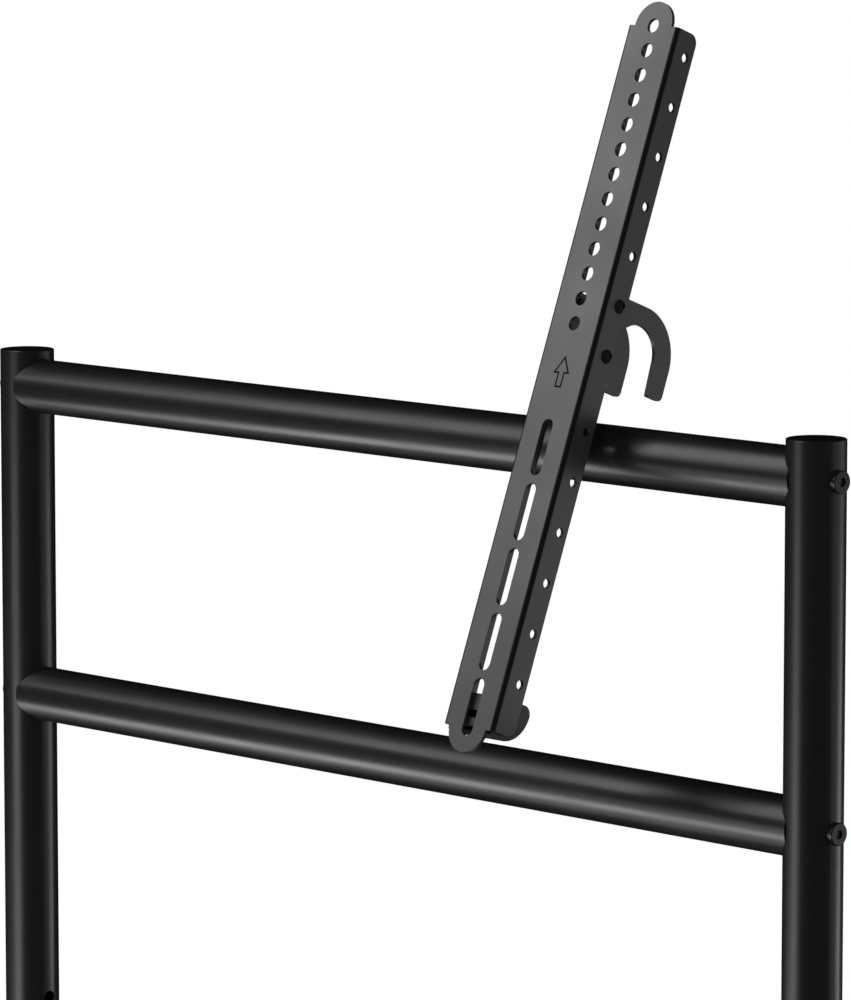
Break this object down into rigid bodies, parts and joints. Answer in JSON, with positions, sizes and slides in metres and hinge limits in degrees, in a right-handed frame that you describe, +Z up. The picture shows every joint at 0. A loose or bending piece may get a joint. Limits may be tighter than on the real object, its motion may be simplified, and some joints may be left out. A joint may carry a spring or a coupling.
{
  "type": "rolling display stand",
  "caption": "Black rolling stand of round steel tube with two upper crossbars, and one hook-on display arm lifted off them and leaning over the top bar.",
  "frame": {"origin": "on the floor, midway between the two posts", "axes": "+X along the bars, +Y towards the back of the stand, +Z up"},
  "size_m": [0.7336, 0.633, 1.7395],
  "materials": {
    "frame_black": "satin black powder coat",
    "arm_black": "fine matt black powder coat",
    "bolt_black": "black oxide",
    "zinc": "zinc plated",
    "plastic_black": "fine matt",
    "tyre": "matt"
  },
  "bodies": {
    "frame": {"left_post": "frame_black", "right_post": "frame_black", "left_post_cap": "frame_black", "right_post_cap": "frame_black", "top_bar": "frame_black", "lower_bar": "frame_black", "base_bar": "frame_black", "bar_inserts": "zinc", "bar_bolts": "bolt_black", "saddle_washers": "bolt_black", "left_foot": "frame_black", "right_foot": "frame_black", "foot_caps": "frame_black", "caster_sockets": "frame_black", "post_inserts": "zinc", "foot_bolts": "bolt_black", "foot_washers": "bolt_black", "front_left_stem": "zinc", "front_right_stem": "zinc", "rear_left_stem": "zinc", "rear_right_stem": "zinc"},
    "front_left_swivel": {"front_left_fork": "zinc", "front_left_axle": "zinc", "front_left_pedal_pin": "zinc"},
    "front_left_wheel": {"front_left_hub": "plastic_black", "front_left_tyre": "tyre"},
    "front_left_brake": {"front_left_pedal": "plastic_black"},
    "front_right_swivel": {"front_right_fork": "zinc", "front_right_axle": "zinc", "front_right_pedal_pin": "zinc"},
    "front_right_wheel": {"front_right_hub": "plastic_black", "front_right_tyre": "tyre"},
    "front_right_brake": {"front_right_pedal": "plastic_black"},
    "rear_left_swivel": {"rear_left_fork": "zinc", "rear_left_axle": "zinc", "rear_left_pedal_pin": "zinc"},
    "rear_left_wheel": {"rear_left_hub": "plastic_black", "rear_left_tyre": "tyre"},
    "rear_left_brake": {"rear_left_pedal": "plastic_black"},
    "rear_right_swivel": {"rear_right_fork": "zinc", "rear_right_axle": "zinc", "rear_right_pedal_pin": "zinc"},
    "rear_right_wheel": {"rear_right_hub": "plastic_black", "rear_right_tyre": "tyre"},
    "rear_right_brake": {"rear_right_pedal": "plastic_black"},
    "arm": {"arm_channel": "arm_black", "left_hook": "arm_black", "right_hook": "arm_black", "hook_screws": "bolt_black", "hook_nuts": "bolt_black", "arm_heel": "plastic_black"}
  },
  "joints": [
    {"name": "front_left_swivel_turn", "type": "hinge", "parent": "frame", "child": "front_left_swivel", "pos_m": [-0.3466, -0.23, 0.089], "axis": [0, 0, 1], "continuous": true},
    {"name": "front_left_wheel_roll", "type": "hinge", "parent": "front_left_swivel", "child": "front_left_wheel", "pos_m": [-0.3466, -0.255, 0.0375], "axis": [1, 0, 0], "continuous": true},
    {"name": "front_left_brake_press", "type": "hinge", "parent": "front_left_swivel", "child": "front_left_brake", "pos_m": [-0.3466, -0.267, 0.082], "axis": [1, 0, 0], "range_deg": [0, 10]},
    {"name": "front_right_swivel_turn", "type": "hinge", "parent": "frame", "child": "front_right_swivel", "pos_m": [0.3466, -0.23, 0.089], "axis": [0, 0, 1], "continuous": true},
    {"name": "front_right_wheel_roll", "type": "hinge", "parent": "front_right_swivel", "child": "front_right_wheel", "pos_m": [0.3466, -0.255, 0.0375], "axis": [1, 0, 0], "continuous": true},
    {"name": "front_right_brake_press", "type": "hinge", "parent": "front_right_swivel", "child": "front_right_brake", "pos_m": [0.3466, -0.267, 0.082], "axis": [1, 0, 0], "range_deg": [0, 10]},
    {"name": "rear_left_swivel_turn", "type": "hinge", "parent": "frame", "child": "rear_left_swivel", "pos_m": [-0.3466, 0.23, 0.089], "axis": [0, 0, 1], "continuous": true},
    {"name": "rear_left_wheel_roll", "type": "hinge", "parent": "rear_left_swivel", "child": "rear_left_wheel", "pos_m": [-0.3466, 0.255, 0.0375], "axis": [1, 0, 0], "continuous": true},
    {"name": "rear_left_brake_press", "type": "hinge", "parent": "rear_left_swivel", "child": "rear_left_brake", "pos_m": [-0.3466, 0.267, 0.082], "axis": [-1, 0, 0], "range_deg": [0, 10]},
    {"name": "rear_right_swivel_turn", "type": "hinge", "parent": "frame", "child": "rear_right_swivel", "pos_m": [0.3466, 0.23, 0.089], "axis": [0, 0, 1], "continuous": true},
    {"name": "rear_right_wheel_roll", "type": "hinge", "parent": "rear_right_swivel", "child": "rear_right_wheel", "pos_m": [0.3466, 0.255, 0.0375], "axis": [1, 0, 0], "continuous": true},
    {"name": "rear_right_brake_press", "type": "hinge", "parent": "rear_right_swivel", "child": "rear_right_brake", "pos_m": [0.3466, 0.267, 0.082], "axis": [-1, 0, 0], "range_deg": [0, 10]},
    {"name": "arm_hang", "type": "hinge", "parent": "frame", "child": "arm", "pos_m": [0.1738, 0.16371, 1.4766], "axis": [1, 0, 0], "range_deg": [0, 20.75]}
  ]
}
